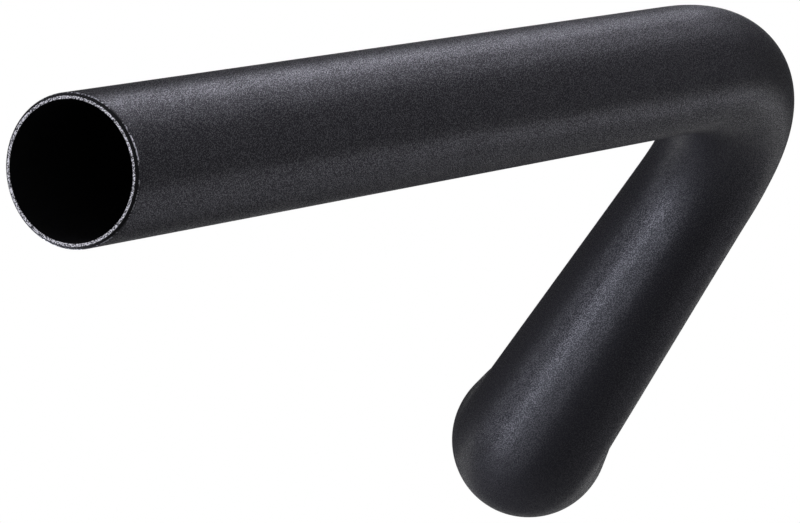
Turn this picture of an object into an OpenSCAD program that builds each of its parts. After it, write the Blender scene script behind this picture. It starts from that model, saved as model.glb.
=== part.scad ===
// Swept-back riser handlebar: one seamless tube, swaged and double bent on each side.
// Frame: X runs across the bar to the rider's right, Y forward, Z up,
// with the origin on the clamp axis at the middle of the clamp zone.

/* [Overall shape] */
// Distance between the middles of the two end faces, across the bar
bar_width = 750; // [710:5:780]
// Height of the upper bend corners over the clamp axis
rise_height = 77.5; // [60:0.5:90]
// Distance of the upper bend corners in front of the clamp axis
rise_forward = 51; // [35:1:60]
// Distance across the bar that each rise tube covers from corner to corner
rise_spread = 108; // [100:1:120]
// Angle that the grip tubes sweep back, seen from above
backsweep = 25.4; // [16:0.2:30]
// Angle that the grip tubes fall toward their ends, seen from the front
downsweep = 5.2; // [0:0.1:8]

/* [Clamp zone] */
// Outside diameter of the clamp zone in the middle
clamp_d = 31.8; // [31:0.1:35]
// Length of the straight clamp zone
clamp_len = 60; // [50:2:72]
// Length of the swaged shoulder on each side of the clamp zone
shoulder_len = 6; // [5:0.5:10]
// Wall thickness in the clamp zone
clamp_wall = 2.6; // [2:0.1:3.2]

/* [Bends] */
// Outside diameter of the tube in the lower bends
lower_d = 28.4; // [26:0.1:30]
// Wall thickness in the lower bends
lower_wall = 2.1; // [1.5:0.1:2.6]
// Centreline radius of the lower bends
lower_radius = 45; // [38:1:55]
// Centreline radius of the upper bends
upper_radius = 79; // [60:1:84]
// Reduction of the tube's radius where it is swaged or bent, which draws it down
bend_draw = 0.02; // [0.01:0.01:0.05]

/* [Grips] */
// Outside diameter of the grip tubes
grip_d = 22.2; // [22:0.1:24]
// Wall thickness of the grip tubes
grip_wall = 0.9; // [0.8:0.1:1.6]
// Width of the chamfer on the outer edge of each open end
end_chamfer = 0.5; // [0.2:0.1:0.6]

/* [Hidden] */
$fn = 96;
// How far the bore runs past each open end, so that it cuts through
end_overrun = 1;
// Overlap of each straight run into the length of tube before it
joint_lap = 0.1;

// Directions of the rise tube and of the grip tube on the right side
rise_vector = [rise_spread, rise_forward, rise_height];
rise_dir = rise_vector / norm(rise_vector);
grip_vector = [1, -tan(backsweep), -tan(downsweep)];
grip_dir = grip_vector / norm(grip_vector);

// Lean of the rise plane about the clamp axis, and the angle of each bend
rise_lean = atan2(rise_height, rise_forward);
lower_bend = acos(rise_dir[0]);
upper_bend = acos(rise_dir * grip_dir);

// Turn about the rise tube from the plane of the lower bend to that of the upper bend
lower_normal = cross([1, 0, 0], rise_dir);
upper_normal = cross(rise_dir, grip_dir);
bend_twist = atan2(cross(lower_normal, upper_normal) * rise_dir, lower_normal * upper_normal);

// Straight lengths that are left between the bends and out to the ends
lower_setback = lower_radius * tan(lower_bend / 2);
upper_setback = upper_radius * tan(upper_bend / 2);
lower_corner = clamp_len / 2 + shoulder_len + lower_setback;
upper_corner = lower_corner + rise_spread;
rise_len = norm(rise_vector) - lower_setback - upper_setback;
grip_len = (bar_width / 2 - upper_corner) / grip_dir[0] - upper_setback;

tube_colour = [0.07, 0.07, 0.08];

// An arc of round tube that starts along Z at the origin and turns toward X
module bend(tube_r, bend_r, angle)
    translate([bend_r, 0, 0])
        rotate([90, 0, 180])
            rotate_extrude(angle = angle)
                translate([bend_r, 0])
                    circle(r = tube_r);

// Moves its children to the far end of such an arc, with Z along the tube again
module past_bend(bend_r, angle)
    translate([bend_r, 0, 0])
        rotate([0, angle, 0])
            translate([-bend_r, 0, 0])
                children();

// One grip tube from the upper bend outward, with its outer edge chamfered
module grip_run(tube_r, straight, chamfer) {
    translate([0, 0, -joint_lap])
        cylinder(r = tube_r, h = straight - chamfer + joint_lap);
    if (chamfer > 0)
        translate([0, 0, straight - chamfer])
            cylinder(r1 = tube_r, r2 = tube_r - chamfer, h = chamfer);
}

// The run of one side from the clamp zone out to the upper bend, with its grip as the child
module side_run(clamp_r, lower_r, grip_r)
    rotate([rise_lean, 0, 0])
        rotate([90, 0, 90])
            translate([0, 0, clamp_len / 2]) {
                translate([0, 0, -joint_lap])
                    cylinder(r1 = clamp_r - bend_draw, r2 = lower_r - bend_draw, h = shoulder_len + joint_lap);
                translate([0, 0, shoulder_len]) {
                    bend(lower_r - bend_draw, lower_radius, lower_bend);
                    past_bend(lower_radius, lower_bend)
                        rotate([0, 0, bend_twist]) {
                            translate([0, 0, -joint_lap])
                                cylinder(r1 = lower_r, r2 = grip_r - bend_draw, h = rise_len + joint_lap);
                            translate([0, 0, rise_len]) {
                                bend(grip_r - bend_draw, upper_radius, upper_bend);
                                past_bend(upper_radius, upper_bend)
                                    children();
                            }
                        }
                }
            }

// Places its children on the right side and mirrored on the left side
module both_sides() {
    children();
    mirror([1, 0, 0])
        children();
}

// The middle of the bar, centred on the origin
module clamp_run(tube_r)
    rotate([0, 90, 0])
        cylinder(r = tube_r, h = clamp_len, center = true);

module handlebar()
    color(tube_colour)
        difference() {
            union() {
                clamp_run(clamp_d / 2);
                both_sides()
                    side_run(clamp_d / 2, lower_d / 2, grip_d / 2)
                        grip_run(grip_d / 2, grip_len, end_chamfer);
            }
            union() {
                clamp_run(clamp_d / 2 - clamp_wall);
                both_sides()
                    side_run(clamp_d / 2 - clamp_wall, lower_d / 2 - lower_wall, grip_d / 2 - grip_wall)
                        grip_run(grip_d / 2 - grip_wall, grip_len + end_overrun, 0);
            }
        }

handlebar();
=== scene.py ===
import logging
import math
from dataclasses import dataclass, field, replace
from enum import Enum
from typing import Any

import bmesh
import bpy
import numpy as np
from mathutils import Matrix, Vector

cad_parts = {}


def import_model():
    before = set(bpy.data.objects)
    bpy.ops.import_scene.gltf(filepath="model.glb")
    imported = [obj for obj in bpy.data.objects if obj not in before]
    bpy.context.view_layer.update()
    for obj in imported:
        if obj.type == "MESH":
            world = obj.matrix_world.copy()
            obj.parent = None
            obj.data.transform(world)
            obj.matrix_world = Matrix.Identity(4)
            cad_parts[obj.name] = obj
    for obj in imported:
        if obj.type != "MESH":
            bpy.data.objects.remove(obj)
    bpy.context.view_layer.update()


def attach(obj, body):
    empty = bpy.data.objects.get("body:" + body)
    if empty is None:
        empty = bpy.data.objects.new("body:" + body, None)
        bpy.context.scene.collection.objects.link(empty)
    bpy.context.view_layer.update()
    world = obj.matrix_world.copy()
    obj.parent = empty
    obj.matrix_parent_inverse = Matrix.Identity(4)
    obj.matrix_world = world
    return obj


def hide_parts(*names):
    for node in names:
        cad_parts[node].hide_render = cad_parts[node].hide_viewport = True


log = logging.getLogger("handlebar")

Colour = tuple[float, float, float, float]
Triple = tuple[float, float, float]
Span = tuple[float, float]

# Metres in a millimetre, and decimals of a metre down to a micron
MM = 0.001
MICRON_PLACES = 6

WHITE: Colour = (1.0, 1.0, 1.0, 1.0)


class Region(Enum):
    """The parts of the tube's surface that carry a finish of their own."""

    SKIN = 0
    RIM = 1
    BORE = 2
    EDGE = 3


class Ray(Enum):
    """The kinds of ray that the floor and the world tell apart."""

    CAMERA = "Is Camera Ray"
    DIFFUSE = "Is Diffuse Ray"
    GLOSSY = "Is Glossy Ray"
    TRANSMISSION = "Is Transmission Ray"


# Shader expressions


class Wire:
    """A node's socket that can be used in Python arithmetic."""

    def __init__(self, graph: "Graph", socket: bpy.types.NodeSocket) -> None:
        """Wrap one socket.

        Args:
            graph: The node graph that new Math nodes go into.
            socket: The socket that this wire stands for.
        """
        self.graph = graph
        self.socket = socket

    def _maths(self, operation: str, first: Any, second: Any) -> "Wire":
        """Add one Math node.

        Args:
            operation: The Math node's operation.
            first: A wire or a number for the first socket.
            second: A wire or a number for the second socket.

        Returns:
            The node's result.
        """
        return self.graph.node("ShaderNodeMath", {"operation": operation}, {0: first, 1: second})

    def __add__(self, other: Any) -> "Wire":
        """Sum with a wire or a number."""
        return self._maths("ADD", self, other)

    def __radd__(self, other: Any) -> "Wire":
        """Sum with a number on the left."""
        return self._maths("ADD", other, self)

    def __sub__(self, other: Any) -> "Wire":
        """Difference from a wire or a number."""
        return self._maths("SUBTRACT", self, other)

    def __rsub__(self, other: Any) -> "Wire":
        """Difference of a number on the left and this wire."""
        return self._maths("SUBTRACT", other, self)

    def __mul__(self, other: Any) -> "Wire":
        """Product with a wire or a number."""
        return self._maths("MULTIPLY", self, other)

    def __rmul__(self, other: Any) -> "Wire":
        """Product with a number on the left."""
        return self._maths("MULTIPLY", other, self)

    def high(self, other: Any) -> "Wire":
        """The larger of this wire and another value."""
        return self._maths("MAXIMUM", self, other)


class Graph:
    """Adds nodes to one node tree and links them."""

    def __init__(self, tree: bpy.types.NodeTree) -> None:
        """Take over a node tree.

        Args:
            tree: The tree to fill. Its present nodes are removed.
        """
        self.tree = tree
        tree.nodes.clear()

    def node(self, kind: str, settings: dict[str, Any] | None = None,
             inputs: dict[str | int, Any] | None = None, output: str | int = 0) -> Wire:
        """Add a node, set it up and link its sockets.

        Args:
            kind: The node's type name.
            settings: The node's own settings, set before its sockets.
            inputs: Wires or values by socket name or number.
            output: Name or number of the output socket to return.

        Returns:
            The chosen output, or the first input of a node that has no output.
        """
        made = self.tree.nodes.new(kind)
        for name, value in (settings or {}).items():
            setattr(made, name, value)
        for name, value in (inputs or {}).items():
            target = self._socket(made.inputs, name)
            if isinstance(value, Wire):
                self.tree.links.new(value.socket, target)
            else:
                target.default_value = value
        if not made.outputs:
            return Wire(self, made.inputs[0])
        return Wire(self, self._socket(made.outputs, output))

    @staticmethod
    def _socket(sockets: Any, name: str | int) -> bpy.types.NodeSocket:
        """Find a socket by its number, or the one that is switched on by its name.

        Args:
            sockets: A node's inputs or its outputs.
            name: The socket's name, or its number among them all.

        Returns:
            The socket.
        """
        if isinstance(name, int):
            return sockets[name]
        return next(socket for socket in sockets if socket.name == name and socket.enabled)

    def place(self) -> Wire:
        """The surface point in the object's own coordinates, in metres."""
        return self.node("ShaderNodeTexCoord", output="Object")

    def ray(self, kind: Ray) -> Wire:
        """1 for a ray of one kind, and 0 for any other."""
        return self.node("ShaderNodeLightPath", output=kind.value)

    def along(self, point: Wire, way: Triple) -> Wire:
        """How far a point or a direction reaches along a given way."""
        return self.node("ShaderNodeVectorMath", {"operation": "DOT_PRODUCT"}, {0: point, 1: way}, "Value")

    def noise(self, size: float, detail: float = 1.0, rough: float = 0.5,
              stretch: Triple = (1.0, 1.0, 1.0)) -> Wire:
        """A noise pattern with features of a given size.

        Args:
            size: Feature size in metres.
            detail: Number of finer layers.
            rough: Weight of the finer layers.
            stretch: Scale along each axis.

        Returns:
            The noise value, from 0 to 1.
        """
        mapped = self.node("ShaderNodeMapping", {}, {"Vector": self.place(), "Scale": stretch})
        return self.node("ShaderNodeTexNoise", {},
                         {"Vector": mapped, "Scale": 1.0 / size, "Detail": detail, "Roughness": rough}, "Fac")

    def spread(self, value: Wire, low: float, high: float, to_low: float = 0.0,
               to_high: float = 1.0) -> Wire:
        """Map one range of a value to another, held at its ends.

        Args:
            value: The value.
            low: Value that becomes to_low.
            high: Value that becomes to_high.
            to_low: Result at the low end.
            to_high: Result at the high end.

        Returns:
            The mapped value.
        """
        return self.node("ShaderNodeMapRange", {"clamp": True},
                         {"Value": value, "From Min": low, "From Max": high,
                          "To Min": to_low, "To Max": to_high})

    def blend(self, amount: Wire, first: Any, second: Any) -> Wire:
        """Blend two colours.

        Args:
            amount: 0 for the first colour, 1 for the second.
            first: A colour or a wire.
            second: A colour or a wire.

        Returns:
            The blended colour.
        """
        return self.node("ShaderNodeMix", {"data_type": "RGBA"},
                         {"Factor": amount, "A": first, "B": second}, "Result")

    def bump(self, height: Wire, depth: float) -> Wire:
        """Turn a height pattern into a bent normal.

        Args:
            height: Height from 0 to 1.
            depth: Height of 1, in metres.

        Returns:
            The normal.
        """
        return self.node("ShaderNodeBump", {}, {"Height": height, "Distance": depth})


# Finishes


@dataclass(frozen=True)
class Finish:
    """A finish that is made as one material.

    Attributes:
        name: The material's name.
    """

    name: str

    def surface(self, graph: Graph) -> Wire:
        """The shader of the finish. Each finish has its own.

        Args:
            graph: The graph that its nodes go into.

        Returns:
            The shader.
        """
        raise NotImplementedError

    def make(self) -> bpy.types.Material:
        """Build the material.

        Returns:
            The finished material.
        """
        material = bpy.data.materials.new(self.name)
        material.use_nodes = True
        graph = Graph(material.node_tree)
        graph.node("ShaderNodeOutputMaterial", {}, {"Surface": self.surface(graph)})
        log.info("finish %s", self.name)
        return material


@dataclass(frozen=True)
class BlastedBlack(Finish):
    """Black anodising over finely blasted metal, with a sparkling sand grain.

    Attributes:
        grain: Size of the sand grain.
        grain_depth: Height of the grain.
        cloud: Size of the faint clouds that the grain and the gloss follow.
        cloud_share: Share of the clouds in the grain.
        cloud_span: Noise values between which the clouds change the roughness.
        level: Grain value halfway between hollow and crest.
        contrast: How far on both sides of it hollow and crest are reached.
        hollow: Colour of the hollows.
        crest: Colour of the crests.
        roughness: Mean roughness.
        roughness_swing: How far the clouds change it each way.
        gloss: Specular level under the coat.
        glint_spread: Roughness of the coat on the crests.
        glint_ior: Index of refraction of that coat.
    """

    name: str = "blasted_black"
    grain: float = 0.18 * MM
    grain_depth: float = 0.02 * MM
    cloud: float = 14.0 * MM
    cloud_share: float = 0.02
    cloud_span: Span = (0.35, 0.65)
    level: float = 0.57
    contrast: float = 0.02
    hollow: Colour = (0.0130, 0.0127, 0.0147, 1.0)
    crest: Colour = (0.0030, 0.0029, 0.0034, 1.0)
    roughness: float = 0.5
    roughness_swing: float = 0.04
    gloss: float = 0.06
    glint_spread: float = 0.36
    glint_ior: float = 1.5

    def surface(self, graph: Graph) -> Wire:
        """Dull hollows, and crests with a clear coat that glints.

        Args:
            graph: The graph that the nodes go into.

        Returns:
            The shader.
        """
        grit = graph.noise(self.grain, detail=0.0)
        cloud = graph.noise(self.cloud, detail=3.0, rough=0.55)
        mixed = grit * (1.0 - self.cloud_share) + cloud * self.cloud_share
        crests = graph.spread(mixed, self.level - self.contrast, self.level + self.contrast)
        polish = graph.spread(cloud, *self.cloud_span)
        return graph.node("ShaderNodeBsdfPrincipled", {}, {
            "Base Color": graph.blend(crests, self.hollow, self.crest),
            "Roughness": self.roughness + self.roughness_swing * (1.0 - 2.0 * polish),
            "Specular IOR Level": self.gloss,
            "Coat Weight": crests,
            "Coat Roughness": self.glint_spread,
            "Coat IOR": self.glint_ior,
            "Normal": graph.bump(grit, self.grain_depth)})


@dataclass(frozen=True)
class CutRim(Finish):
    """The uncoated metal end face of the tube, cut and blasted, with its glitter painted in flecks.

    Attributes:
        fleck: Size of the flecks.
        fleck_depth: Height of the flecks.
        fleck_span: Noise values of a dull and of a bright fleck.
        bright: Colour of the bright flecks, the metal's light tone with a painted glint.
        dull: Colour of the dull flecks, painted shade between the glints.
        metal: Metallic share of the end face.
        roughness_span: Noise values between which the roughness changes.
        roughness: Roughness at the two ends of that span.
    """

    name: str = "cut_rim"
    fleck: float = 0.20 * MM
    fleck_depth: float = 0.12 * MM
    fleck_span: Span = (0.45, 0.53)
    bright: Colour = (0.95, 0.95, 0.96, 1.0)
    dull: Colour = (0.03, 0.03, 0.034, 1.0)
    metal: float = 0.4
    roughness_span: Span = (0.3, 0.7)
    roughness: Span = (0.50, 0.28)

    def surface(self, graph: Graph) -> Wire:
        """Painted glints and painted shade in flecks side by side, on the metal's light tone.

        Args:
            graph: The graph that the nodes go into.

        Returns:
            The shader.
        """
        fine = graph.noise(self.fleck)
        return graph.node("ShaderNodeBsdfPrincipled", {}, {
            # Painted glitter: the bright flecks carry painted glints, the dull flecks painted shade.
            "Base Color": graph.blend(graph.spread(fine, *self.fleck_span), self.dull, self.bright),
            "Metallic": self.metal,
            "Roughness": graph.spread(fine, *self.roughness_span, *self.roughness),
            "Normal": graph.bump(fine, self.fleck_depth)})


@dataclass(frozen=True)
class PaintedEdgeHighlight(Finish):
    """The outer edge of the open end: black, with a painted highlight of bright metal flecks in broken
    patches.

    Attributes:
        fleck: Size of the flecks.
        fleck_depth: Height of the flecks.
        patch: Size of the patches that the painted highlight follows.
        highlit_span: Sums of both patterns between which black turns to the painted highlight.
        painted_highlight: Colour of the painted highlight, in the tone of bright metal.
        black: Colour of the black between the highlight flecks.
        roughness_span: Noise values between which the roughness changes.
        roughness: Roughness at the two ends of that span.
    """

    name: str = "painted_edge_highlight"
    fleck: float = 0.30 * MM
    fleck_depth: float = 0.10 * MM
    patch: float = 3.5 * MM
    highlit_span: Span = (1.02, 1.08)
    painted_highlight: Colour = (0.62, 0.62, 0.64, 1.0)
    black: Colour = (0.014, 0.0135, 0.016, 1.0)
    roughness_span: Span = (0.3, 0.7)
    roughness: Span = (0.5, 0.35)

    def surface(self, graph: Graph) -> Wire:
        """Painted highlight in bright metal flecks where the flecks and the patches are both high.

        Args:
            graph: The graph that the nodes go into.

        Returns:
            The shader.
        """
        fine = graph.noise(self.fleck)
        # Painted highlight: flecks in a bright metal tone along the edge stand for light caught by its
        # rounding.
        highlit = graph.spread(fine + graph.noise(self.patch), *self.highlit_span)
        return graph.node("ShaderNodeBsdfPrincipled", {}, {
            "Base Color": graph.blend(highlit, self.black, self.painted_highlight),
            "Metallic": highlit,
            "Roughness": graph.spread(fine, *self.roughness_span, *self.roughness),
            "Normal": graph.bump(fine, self.fleck_depth)})


@dataclass(frozen=True)
class BoreBlackPaintedShade(Finish):
    """The inside of the tube and the bevels at its mouth: dull black with faint drawing lines, darkened as
    painted shade.

    Attributes:
        line: Width of the drawing lines.
        line_depth: Height of the lines.
        stretch: Scale of the pattern along each axis, which draws it out across the bar.
        dark: Colour between the lines.
        light: Colour on the lines.
        gloss: Specular level.
        roughness_span: Noise values between which the roughness changes.
        roughness: Roughness at the two ends of that span.
    """

    name: str = "bore_black_painted_shade"
    line: float = 0.5 * MM
    line_depth: float = 0.02 * MM
    stretch: Triple = (0.05, 1.0, 1.0)
    dark: Colour = (0.004, 0.004, 0.004, 1.0)
    light: Colour = (0.009, 0.009, 0.010, 1.0)
    gloss: float = 0.2
    roughness_span: Span = (0.3, 0.7)
    roughness: Span = (0.6, 0.75)

    def surface(self, graph: Graph) -> Wire:
        """Lines along the tube that differ a little in colour and roughness.

        Args:
            graph: The graph that the nodes go into.

        Returns:
            The shader.
        """
        # Painted shade: this black is darker and duller than the skin's, for the shade in the bore and on the
        # outer bevel.
        lines = graph.noise(self.line, detail=2.0, rough=0.6, stretch=self.stretch)
        return graph.node("ShaderNodeBsdfPrincipled", {}, {
            "Base Color": graph.blend(lines, self.dark, self.light),
            "Roughness": graph.spread(lines, *self.roughness_span, *self.roughness),
            "Specular IOR Level": self.gloss,
            "Normal": graph.bump(lines, self.line_depth)})


@dataclass(frozen=True)
class PaleFloor(Finish):
    """The plain floor: nearly white to the camera, with the bar's shadow kept near the middle.

    Attributes:
        colour: Colour for camera rays.
        bounce: Colour for all other rays, so that the floor doesn't flood the bar from below.
        roughness: Roughness of the matt share.
        shadow_reach: Distances from the middle where the floor starts to fade and is plain white.
        kept_light: Share of plain white at the middle.
        back_way: Way to the backdrop.
        backdrop_start: Distances along it where the floor starts to be and is all backdrop.
    """

    name: str = "pale_floor"
    colour: Colour = (0.86, 0.86, 0.86, 1.0)
    bounce: Colour = (0.16, 0.16, 0.16, 1.0)
    roughness: float = 0.5
    shadow_reach: Span = (0.55, 1.5)
    kept_light: float = 0.66
    back_way: Triple = (-1.0, 0.0, 0.0)
    backdrop_start: Span = (0.7, 1.4)

    def surface(self, graph: Graph) -> Wire:
        """A matt floor that fades to plain white far out.

        Args:
            graph: The graph that the nodes go into.

        Returns:
            The shader.
        """
        seen = graph.ray(Ray.CAMERA)
        shown = graph.blend(seen, self.bounce, self.colour)
        matt = graph.node("ShaderNodeBsdfDiffuse", {}, {"Color": shown, "Roughness": self.roughness})
        white = graph.node("ShaderNodeEmission", {}, {"Color": WHITE, "Strength": 1.0})
        mirrored = graph.ray(Ray.GLOSSY)
        through = graph.ray(Ray.TRANSMISSION)
        out = graph.node("ShaderNodeVectorMath", {"operation": "LENGTH"}, {0: graph.place()}, "Value")
        back = graph.along(graph.place(), self.back_way)
        plain_white = graph.spread(out, *self.shadow_reach, self.kept_light, 1.0)
        behind = graph.spread(back, *self.backdrop_start)
        share = (seen.high(through) * plain_white).high(mirrored * behind)
        return graph.node("ShaderNodeMixShader", {}, {0: share, 1: matt, 2: white})


# The bar


@dataclass(frozen=True)
class Leg:
    """One straight or bent length of the bar's middle line.

    Attributes:
        length: Length along the middle line.
        radius: Bend radius, or 0.0 where the leg is straight.
        toward: Direction after the bend, or None where the leg is straight.
        step: Spacing of the rings along the leg.
    """

    length: float
    radius: float
    toward: Vector | None
    step: float

    def travel(self, here: Vector, way: Vector, run: float) -> tuple[Vector, Vector]:
        """Go some way along the leg.

        Args:
            here: The point where the leg starts.
            way: The direction in which it starts.
            run: How far to go.

        Returns:
            The point that is reached and the direction there.
        """
        if self.toward is None:
            return here + way * run, way
        inward = (self.toward - way * way.dot(self.toward)).normalized()
        angle = run / self.radius
        moved = (way * math.sin(angle) + inward * (1.0 - math.cos(angle))) * self.radius
        return here + moved, way * math.cos(angle) + inward * math.sin(angle)


@dataclass
class BarForm:
    """The sizes of the bar and the run of its middle line, in metres and radians.

    Attributes:
        width: Distance between the middles of the two end faces, across the bar.
        rise_height: Height of the upper bend corners over the clamp axis.
        rise_forward: Distance of those corners in front of the clamp axis.
        rise_spread: Distance across the bar from a lower to an upper bend corner.
        backsweep: Angle that the grips sweep back, seen from above.
        downsweep: Angle that the grips fall toward their ends, seen from the front.
        clamp_length: Length of the clamp zone.
        shoulder: Straight length from the clamp zone to the lower bend.
        lower_bend: Radius of the middle line in the lower bend.
        upper_bend: Radius of the middle line in the upper bend.
        taper: Distance from the middle of the bar and outer radius there, in millimetres.
        walls: Distance from the middle of the bar and wall thickness there, in millimetres.
        ease: Half the length over which the corners of both are rounded.
        ease_samples: Number of places over that length whose mean is taken.
        steps: Spacing of the rings on each of the five legs.
        across: Direction in which the right side starts.
        legs: The lengths of the middle line on the right side, outward.
        marks: Distances from the middle of the bar at which the legs start and end.
    """

    width: float = 750.0 * MM
    rise_height: float = 77.5 * MM
    rise_forward: float = 51.0 * MM
    rise_spread: float = 108.0 * MM
    backsweep: float = math.radians(25.4)
    downsweep: float = math.radians(5.2)
    clamp_length: float = 60.0 * MM
    shoulder: float = 6.0 * MM
    lower_bend: float = 45.0 * MM
    upper_bend: float = 79.0 * MM
    taper: tuple[Span, ...] = (
        (0.0, 15.9), (28.0, 15.9), (32.0, 15.75), (36.0, 15.42), (42.0, 15.0), (50.0, 14.66), (60.0, 14.38),
        (68.0, 14.1), (85.0, 13.5), (105.0, 12.78), (125.0, 12.06), (147.0, 11.32), (160.0, 11.1),
        (440.0, 11.1))
    walls: tuple[Span, ...] = ((0.0, 2.6), (30.0, 2.6), (36.0, 2.1), (68.0, 2.1), (147.0, 0.9), (440.0, 0.9))
    ease: float = 2.5 * MM
    ease_samples: int = 17
    steps: tuple[float, ...] = (1.5 * MM, 1.3 * MM, 3.0 * MM, 1.5 * MM, 4.5 * MM)
    across: Vector = field(default_factory=lambda: Vector((1.0, 0.0, 0.0)))
    legs: tuple[Leg, ...] = field(init=False)
    marks: np.ndarray = field(init=False)

    def __post_init__(self) -> None:
        """Work out the legs from the corner points, the sweeps and the two radii."""
        rise = Vector((self.rise_spread, self.rise_forward, self.rise_height))
        rise_way = rise.normalized()
        grip_way = Vector((1.0, -math.tan(self.backsweep), -math.tan(self.downsweep))).normalized()
        lower_angle = self.across.angle(rise_way)
        upper_angle = rise_way.angle(grip_way)
        lower_set = self.lower_bend * math.tan(lower_angle / 2)
        upper_set = self.upper_bend * math.tan(upper_angle / 2)
        corner = self.clamp_length / 2 + self.shoulder + lower_set + self.rise_spread
        rise_run = rise.length - lower_set - upper_set
        grip_run = (self.width / 2 - corner) / grip_way.x - upper_set
        plans = (
            (self.clamp_length / 2 + self.shoulder, 0.0, None),
            (self.lower_bend * lower_angle, self.lower_bend, rise_way),
            (rise_run, 0.0, None),
            (self.upper_bend * upper_angle, self.upper_bend, grip_way),
            (grip_run, 0.0, None))
        self.legs = tuple(Leg(*plan, step) for plan, step in zip(plans, self.steps))
        self.marks = np.cumsum([0.0] + [leg.length for leg in self.legs])

    @property
    def reach(self) -> float:
        """Distance along the middle line from the middle of the bar to its end."""
        return float(self.marks[-1])

    def stations(self, stop: float) -> np.ndarray:
        """Distances along one side at which rings are placed.

        Args:
            stop: How far before the end of the tube the last ring lies.

        Returns:
            Rising distances from the middle of the bar.
        """
        runs = [np.linspace(start, end, max(int((end - start) / leg.step), 2), endpoint=False)
                for start, end, leg in zip(self.marks[:-1], self.marks[1:], self.legs)]
        last = self.reach - stop
        every = np.concatenate(runs + [np.array([last])])
        return np.unique(np.clip(np.round(every, MICRON_PLACES), 0.0, last))

    def point(self, distance: float) -> tuple[Vector, Vector]:
        """The middle line at one distance on the right side.

        Args:
            distance: Distance from the middle of the bar along its middle line.

        Returns:
            The point and the direction of travel.
        """
        here = Vector((0.0, 0.0, 0.0))
        way = self.across
        start = 0.0
        for leg, end in zip(self.legs, self.marks[1:]):
            here, way = leg.travel(here, way, min(distance, float(end)) - start)
            if distance <= end:
                break
            start = float(end)
        return here, way

    def eased(self, pairs: tuple[Span, ...], places: np.ndarray) -> np.ndarray:
        """A size that changes along the bar, with its corners rounded.

        Args:
            pairs: Distances and sizes in millimetres.
            places: Distances along one side.

        Returns:
            The size at each place, in metres.
        """
        distances, sizes = (np.array(column) * MM for column in zip(*pairs))
        around = np.linspace(-self.ease, self.ease, self.ease_samples)
        where = np.abs(places[:, None] + around[None, :])
        return np.interp(where, distances, sizes).mean(axis=1)

    def radii(self, places: np.ndarray) -> tuple[np.ndarray, np.ndarray]:
        """Outer and inner radius of the tube.

        Args:
            places: Distances along one side.

        Returns:
            Outer radii and inner radii.
        """
        outer = self.eased(self.taper, places)
        return outer, outer - self.eased(self.walls, places)


@dataclass(frozen=True)
class Ring:
    """One ring of points around the tube.

    Attributes:
        middle: The ring's middle.
        up: Direction of its first point.
        cross: Direction of the point a quarter turn on.
        radius: Its radius.
        region: The finish of the band that follows it.
    """

    middle: Vector
    up: Vector
    cross: Vector
    radius: float
    region: Region

    def points(self, count: int) -> list[Vector]:
        """The ring's points.

        Args:
            count: Number of points.

        Returns:
            The points in order.
        """
        turn = 2 * math.pi / count
        return [self.middle + (self.up * math.cos(i * turn) + self.cross * math.sin(i * turn)) * self.radius
                for i in range(count)]

    def mirrored(self, region: Region) -> "Ring":
        """The same ring on the left side.

        Args:
            region: The finish of the band that follows it there.

        Returns:
            The mirrored ring.
        """
        flip = Vector((-1.0, 1.0, 1.0))
        return Ring(self.middle * flip, self.up * flip, self.cross * flip, self.radius, region)


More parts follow.
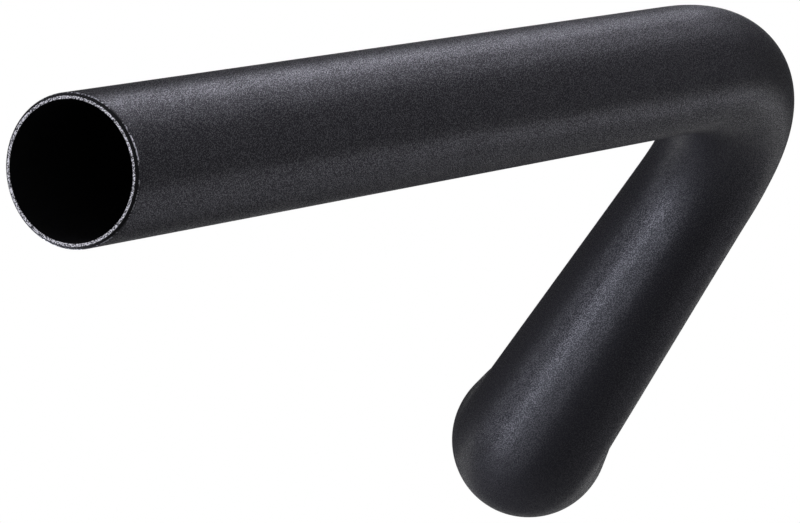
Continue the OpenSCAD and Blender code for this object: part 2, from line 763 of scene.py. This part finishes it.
@dataclass
class Handlebar:
    """The one-piece bar: its outer skin, its cut rims and its bore.

    Attributes:
        form: The bar's sizes and middle line.
        around: Number of points on a ring.
        node: The node that the bar replaces.
        body: The body that it rides on.
        piece: The name of its mesh and object.
        mouth: Rings of the open end: distance before the end face and radius, both in
            millimetres, and the finish of the band that follows.
        mouth_gap: Distance from the mouth to the ring before it.
        sharp_edge: Angle between two faces above which their edge is shaded sharp.
    """

    form: BarForm = field(default_factory=BarForm)
    around: int = 128
    node: str = "handlebar"
    body: str = "root"
    piece: str = "bar_skin"
    # The outer bevel bands take the bore's darker finish as painted shade, and the EDGE bands a painted
    # highlight.
    mouth: tuple[tuple[float, float, Region], ...] = (
        (0.70, 11.10, Region.SKIN), (0.58, 11.09, Region.EDGE), (0.48, 11.04, Region.EDGE),
        (0.40, 10.97, Region.BORE), (0.05, 10.68, Region.BORE), (0.00, 10.62, Region.RIM),
        (0.00, 10.24, Region.RIM), (0.05, 10.20, Region.BORE))
    mouth_gap: float = 1.0 * MM
    sharp_edge: float = math.radians(35.0)

    def side(self) -> tuple[list[Ring], list[Ring], list[Ring]]:
        """Rings of the right side.

        Returns:
            The outside from the middle outward, the mouth, and the bore from the middle outward.
        """
        mouth_length = self.mouth[0][0] * MM
        places = self.form.stations(mouth_length + self.mouth_gap)
        outer, inner = self.form.radii(places)
        outside: list[Ring] = []
        bore: list[Ring] = []
        up = Vector((0.0, 0.0, 1.0))
        way = self.form.across
        for place, big, small in zip(places, outer, inner):
            here, way = self.form.point(float(place))
            up = (up - way * way.dot(up)).normalized()
            cross = way.cross(up)
            outside.append(Ring(here, up.copy(), cross, float(big), Region.SKIN))
            bore.append(Ring(here, up.copy(), cross, float(small), Region.BORE))
        end, _ = self.form.point(self.form.reach)
        mouth = [Ring(end - way * back * MM, up.copy(), way.cross(up), radius * MM, region)
                 for back, radius, region in self.mouth]
        return outside, mouth, bore

    def loops(self) -> list[Ring]:
        """All rings of the closed skin, out along the outside and back through the bore.

        Returns:
            The rings in order. The last one closes on the first.
        """
        outside, mouth, bore = self.side()
        right = outside + mouth + bore[::-1]
        left = [ring.mirrored(before.region) for before, ring in zip(right[:-2], right[1:-1])]
        return right + left[::-1]

    def build(self) -> bpy.types.Object:
        """Make the bar's mesh object.

        Returns:
            The object, with the number of a finish on each face.
        """
        rings = self.loops()
        mesh = bmesh.new()
        rows = [[mesh.verts.new(point) for point in ring.points(self.around)] for ring in rings]
        for ring, one, two in zip(rings, rows, rows[1:] + rows[:1]):
            for i in range(self.around):
                j = (i + 1) % self.around
                face = mesh.faces.new((one[i], one[j], two[j], two[i]))
                face.material_index = ring.region.value
                face.smooth = True
        bmesh.ops.recalc_face_normals(mesh, faces=mesh.faces)
        for edge in mesh.edges:
            if edge.calc_face_angle() > self.sharp_edge:
                edge.smooth = False
        data = bpy.data.meshes.new(self.piece)
        mesh.to_mesh(data)
        mesh.free()
        made = bpy.data.objects.new(self.piece, data)
        bpy.context.scene.collection.objects.link(made)
        return made

    def dress(self, made: bpy.types.Object) -> None:
        """Give the bar its finishes, in the order of the regions.

        Args:
            made: The bar's object.
        """
        finishes = {Region.SKIN: BlastedBlack(), Region.RIM: CutRim(), Region.BORE: BoreBlackPaintedShade(),
                    Region.EDGE: PaintedEdgeHighlight()}
        for region in Region:
            made.data.materials.append(finishes[region].make())

    def assemble(self) -> bpy.types.Object:
        """Build, dress and seat the bar.

        Returns:
            The finished object.
        """
        made = self.build()
        self.dress(made)
        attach(made, self.body)
        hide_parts(self.node)
        log.info("%s: %d faces", self.piece, len(made.data.polygons))
        return made


# The studio


@dataclass(frozen=True)
class Softbox:
    """One soft round lamp that looks at a point and that the camera doesn't see, in metres.

    Attributes:
        name: The lamp's name.
        way: Direction from its target to the lamp.
        distance: Distance from its target.
        size: Diameter of its face.
        power: Its power in watts.
        colour: Colour of its light.
        target: The point that it looks at.
        subject: What it lights, with only that to shade it, or None for everything.
    """

    name: str
    way: Triple
    distance: float
    size: float
    power: float
    colour: Triple
    target: Triple = (0.18, 0.0, 0.04)
    subject: bpy.types.Collection | None = None

    def hang(self) -> bpy.types.Object:
        """Place the lamp.

        Returns:
            The lamp's object.
        """
        lamp = bpy.data.lights.new(self.name, "AREA")
        lamp.shape = "DISK"
        lamp.size = self.size
        lamp.energy = self.power
        lamp.color = self.colour
        made = bpy.data.objects.new(self.name, lamp)
        bpy.context.scene.collection.objects.link(made)
        way = Vector(self.way).normalized()
        made.location = Vector(self.target) + way * self.distance
        made.rotation_euler = (-way).to_track_quat("-Z", "Y").to_euler()
        made.visible_camera = False
        if self.subject is not None:
            made.light_linking.receiver_collection = self.subject
            made.light_linking.blocker_collection = self.subject
        log.info("lamp %s", self.name)
        return made


@dataclass
class Studio:
    """Floor, world, lamps and camera, in metres.

    Attributes:
        bar: The bar's object.
        lamps: The lamps to hang.
        low_lamp: Height of a lamp's way under which it lights the bar alone.
        floor_height: Height of the floor.
        floor_half: Half the width of the floor.
        ambient: Level of the world where it isn't shown white.
        even_light: What diffuse rays get on top of it.
        backdrop_way: Way to the middle of the white backdrop.
        backdrop_cone: How far along that way a direction reaches where the backdrop starts
            and where it is all white.
        eye: The camera's place.
        yaw: Turn of the view toward the front, from straight along the bar, in radians.
        pitch: Rise of the view over the horizon, in radians.
        roll: Turn of the picture about the view, in radians.
        focal_px: Focal length in pixels of the photograph.
        frame_px: Width of the photograph in pixels.
        sensor: Width of the camera's sensor, in millimetres.
        clip: Nearest and farthest distance that the camera sees.
    """

    bar: bpy.types.Object
    lamps: tuple[Softbox, ...]
    low_lamp: float = -0.2
    floor_height: float = -0.30
    floor_half: float = 1.6
    ambient: float = 0.06
    even_light: float = 0.4
    backdrop_way: Triple = (-1.0, 0.0, 0.05)
    backdrop_cone: Span = (0.985, 0.995)
    eye: Triple = (1.115145, 0.042464, 0.065427)
    yaw: float = -0.06349
    pitch: float = -0.02679
    roll: float = 0.00177
    focal_px: float = 5325.1
    frame_px: float = 800.0
    sensor: float = 36.0
    clip: Span = (0.01, 50.0)

    def light_world(self) -> None:
        """White behind the object for the camera, a low even light for everything else."""
        world = bpy.data.worlds.new("studio")
        bpy.context.scene.world = world
        world.use_nodes = True
        graph = Graph(world.node_tree)
        facing = graph.along(graph.node("ShaderNodeTexCoord", output="Generated"), self.backdrop_way)
        backdrop = graph.spread(facing, *self.backdrop_cone)
        mirrored = graph.ray(Ray.GLOSSY).high(graph.ray(Ray.TRANSMISSION))
        white = graph.ray(Ray.CAMERA).high(mirrored * backdrop)
        even = graph.ray(Ray.DIFFUSE) * self.even_light
        strength = graph.spread(white, 0.0, 1.0, self.ambient, 1.0) + even
        glow = graph.node("ShaderNodeBackground", {}, {"Color": WHITE, "Strength": strength})
        graph.node("ShaderNodeOutputWorld", {}, {"Surface": glow})
        log.info("world light")

    def lay_floor(self) -> bpy.types.Object:
        """Lay the floor below the object.

        Returns:
            The floor's object.
        """
        half = self.floor_half
        corners = [(-half, -half, 0.0), (half, -half, 0.0), (half, half, 0.0), (-half, half, 0.0)]
        data = bpy.data.meshes.new("floor")
        data.from_pydata(corners, [], [(0, 1, 2, 3)])
        data.materials.append(PaleFloor().make())
        made = bpy.data.objects.new("floor", data)
        made.location.z = self.floor_height
        bpy.context.scene.collection.objects.link(made)
        log.info("floor")
        return made

    def hang_lamps(self) -> None:
        """Hang the lamps, the low ones for the bar alone.

        Some low lamps hang under the floor, which would block them. The others would leave
        streaks of light on it.
        """
        bar_alone = bpy.data.collections.new("bar_alone")
        bar_alone.objects.link(self.bar)
        for lamp in self.lamps:
            if lamp.way[2] < self.low_lamp:
                lamp = replace(lamp, subject=bar_alone)
            lamp.hang()

    def aim_camera(self) -> bpy.types.Object:
        """Set up the camera at the photograph's viewing angle.

        Returns:
            The camera's object.
        """
        lens = bpy.data.cameras.new("camera")
        lens.sensor_fit = "HORIZONTAL"
        lens.sensor_width = self.sensor
        lens.lens = self.focal_px * self.sensor / self.frame_px
        lens.clip_start, lens.clip_end = self.clip
        made = bpy.data.objects.new("camera", lens)
        bpy.context.scene.collection.objects.link(made)
        way = Vector((-math.cos(self.yaw) * math.cos(self.pitch),
                      math.sin(self.yaw) * math.cos(self.pitch), math.sin(self.pitch)))
        made.location = self.eye
        side = way.cross(Vector((0.0, 0.0, 1.0))).normalized()
        up = side.cross(way)
        right = side * math.cos(self.roll) + up * math.sin(self.roll)
        made.rotation_euler = Matrix((right, right.cross(way), -way)).transposed().to_euler()
        bpy.context.scene.camera = made
        log.info("camera")
        return made

    def set_up(self) -> None:
        """Build the whole studio."""
        bpy.context.scene.view_settings.view_transform = "Standard"
        self.light_world()
        self.lay_floor()
        self.hang_lamps()
        self.aim_camera()


# Two lamp colours, and the point over the clamp zone that the widest lamps look at
DAY: Triple = (0.87, 0.86, 1.0)
COOL: Triple = (0.82, 0.84, 1.0)
OVER_CLAMP: Triple = (0.0, 0.0, 0.04)

# Name, way, distance, size, power, colour and, for the last three, the target
LAMPS = (
    Softbox("key_left", (-0.70, 0.20, 0.68), 1.00, 0.30, 1.41, DAY),
    Softbox("key_middle", (-0.58, 0.50, 0.64), 1.00, 0.30, 0.55, DAY),
    Softbox("key_right", (-0.50, 0.65, 0.57), 1.00, 0.60, 0.386, DAY),
    Softbox("right_strip", (-0.40, 0.91, 0.10), 1.00, 0.60, 0.45, DAY),
    Softbox("low_right", (-0.66, 0.645, -0.39), 1.00, 0.40, 0.65, DAY),
    Softbox("low_far", (-0.45, 0.60, -0.66), 0.424, 0.254, 0.10, DAY),
    Softbox("low_middle", (-0.30, -0.77, -0.57), 0.493, 0.148, 0.64, COOL),
    Softbox("low_rise", (-0.206, -0.675, -0.71), 1.00, 0.40, 2.80, COOL),
    Softbox("low_near", (-0.13, -0.52, -0.85), 0.331, 0.10, 0.18, COOL),
    Softbox("low_back", (-0.468, -0.836, -0.288), 0.97, 0.29, 0.60, COOL),
    Softbox("front_fill", (0.75, -0.65, 0.10), 1.00, 1.40, 3.30, DAY),
    Softbox("side_left", (0.35, -0.80, 0.49), 1.00, 0.70, 3.00, DAY, OVER_CLAMP),
    Softbox("side_right", (0.35, 0.80, 0.49), 1.00, 0.70, 3.00, DAY, OVER_CLAMP),
    Softbox("overhead", (0.0, 0.0, 1.0), 1.00, 0.80, 2.20, DAY, OVER_CLAMP),
)


def main() -> None:
    """Build the studio and the bar."""
    logging.basicConfig(level=logging.INFO, format="%(name)s: %(message)s")
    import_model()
    bar = Handlebar().assemble()
    Studio(bar=bar, lamps=LAMPS).set_up()


if __name__ == "__main__":
    main()
